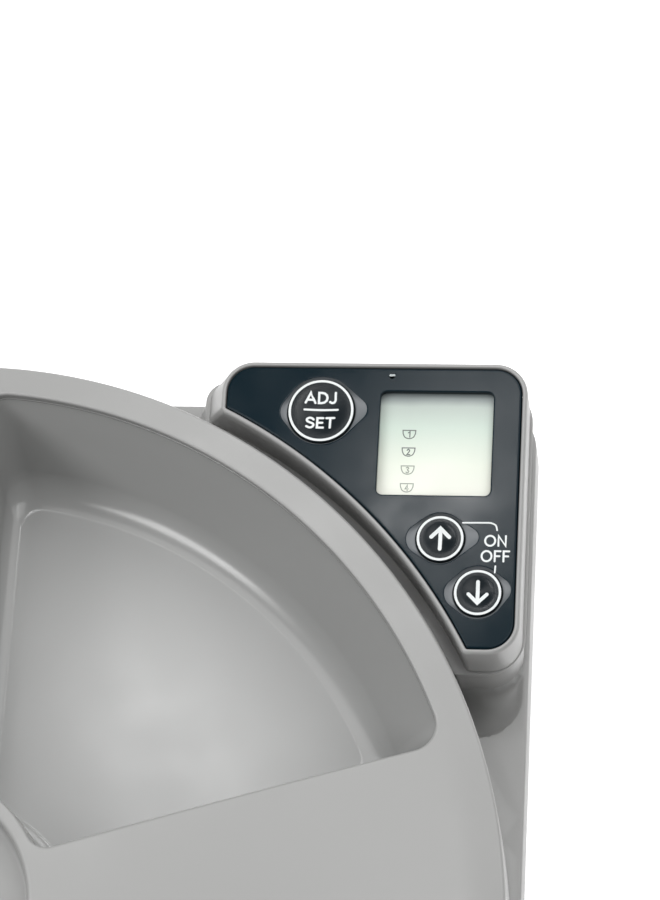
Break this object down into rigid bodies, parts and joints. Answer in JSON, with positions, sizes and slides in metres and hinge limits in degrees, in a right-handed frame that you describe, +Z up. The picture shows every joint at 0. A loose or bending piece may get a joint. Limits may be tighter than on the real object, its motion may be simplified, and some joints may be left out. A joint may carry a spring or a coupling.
{
  "type": "automatic pet feeder",
  "caption": "low square base with a round turning food bowl split into wedge compartments, under a domed lid with one wedge opening, and a control panel with display and buttons in one corner",
  "frame": {"origin": "on the table, in the middle of the base's footprint and on the bowl's axis", "axes": "+Z is up; +X and +Y are along the base's sides, and the control panel stands in the +X +Y corner"},
  "size_m": [0.2932, 0.2948, 0.08],
  "materials": {
    "shell": "satin, lightly textured",
    "bowl": "satin",
    "screws": "zinc plated",
    "feet": "matte",
    "cells": "printed wrap",
    "contacts": "nickel plated",
    "ice_packs": "filled with gel",
    "gearbox_plate": "plain",
    "motor_can": "plated can",
    "pinion": "machined",
    "shafts": "machined",
    "gears": "moulded",
    "black_plastic": "plain",
    "bush": "sintered",
    "panel_face": "glossy, printed",
    "lcd": "reflective display",
    "circuit_board": "coated laminate",
    "light_pipe": "clear moulded",
    "buttons": "moulded, with a shallow cup",
    "prints": "printed",
    "wires_red": "insulation",
    "wires_black": "insulation"
  },
  "bodies": {
    "base": {"base_lower_shell": "shell", "base_upper_shell": "shell", "base_screws": "screws", "rubber_feet": "feet", "battery_cells": "cells", "battery_contacts": "contacts", "battery_springs": "contacts", "ice_pack_left": "ice_packs", "ice_pack_right": "ice_packs", "gearbox_plate": "gearbox_plate", "gearbox_screws": "screws", "motor": "motor_can", "idler_axle": "shafts", "index_sensor": "black_plastic", "spindle_bush": "bush", "panel_cover": "shell", "panel_face": "panel_face", "panel_screws": "screws", "lcd_glass": "lcd", "lcd_frame": "black_plastic", "circuit_board": "circuit_board", "tact_switches": "black_plastic", "buzzer": "black_plastic", "led_light_pipe": "light_pipe", "motor_wires": "wires_red", "battery_wires": "wires_black"},
    "turntable": {"bowl": "bowl", "drive_spindle": "shafts", "drive_gear": "gears", "index_disc": "black_plastic", "retaining_ring": "shafts"},
    "idler": {"idler_gear": "gears"},
    "pinion": {"motor_pinion": "pinion"},
    "lid": {"lid": "shell"},
    "door": {"battery_door": "shell"},
    "key_adj_set": {"button_adj_set": "buttons"},
    "key_up": {"button_up": "buttons"},
    "key_down": {"button_down": "buttons"}
  },
  "joints": [
    {"name": "bowl_turn", "type": "hinge", "parent": "base", "child": "turntable", "pos_m": [0, 0, 0.03], "axis": [0, 0, 1], "continuous": true},
    {"name": "idler_turn", "type": "hinge", "parent": "base", "child": "idler", "pos_m": [-0.02706, -0.00985, 0.024], "axis": [0, 0, 1], "continuous": true},
    {"name": "pinion_turn", "type": "hinge", "parent": "base", "child": "pinion", "pos_m": [-0.02113, -0.02811, 0.021], "axis": [0, 0, 1], "continuous": true},
    {"name": "lid_lift", "type": "slide", "parent": "base", "child": "lid", "axis": [0, 0, 1], "range_m": [0, 0.06]},
    {"name": "door_swing", "type": "hinge", "parent": "base", "child": "door", "pos_m": [0, -0.054, 0.0035], "axis": [1, 0, 0], "range_deg": [0, 105]},
    {"name": "adj_set_press", "type": "slide", "parent": "base", "child": "key_adj_set", "axis": [0, 0, -1], "range_m": [0, 0.0008], "stiffness_N_per_m": 600, "springref_m": -0.0005},
    {"name": "up_press", "type": "slide", "parent": "base", "child": "key_up", "axis": [0, 0, -1], "range_m": [0, 0.0008], "stiffness_N_per_m": 600, "springref_m": -0.0005},
    {"name": "down_press", "type": "slide", "parent": "base", "child": "key_down", "axis": [0, 0, -1], "range_m": [0, 0.0008], "stiffness_N_per_m": 600, "springref_m": -0.0005}
  ],
  "couplings": [
    {"joint": "idler_turn", "follows": "bowl_turn", "ratio": -5},
    {"joint": "pinion_turn", "follows": "bowl_turn", "ratio": 15}
  ]
}
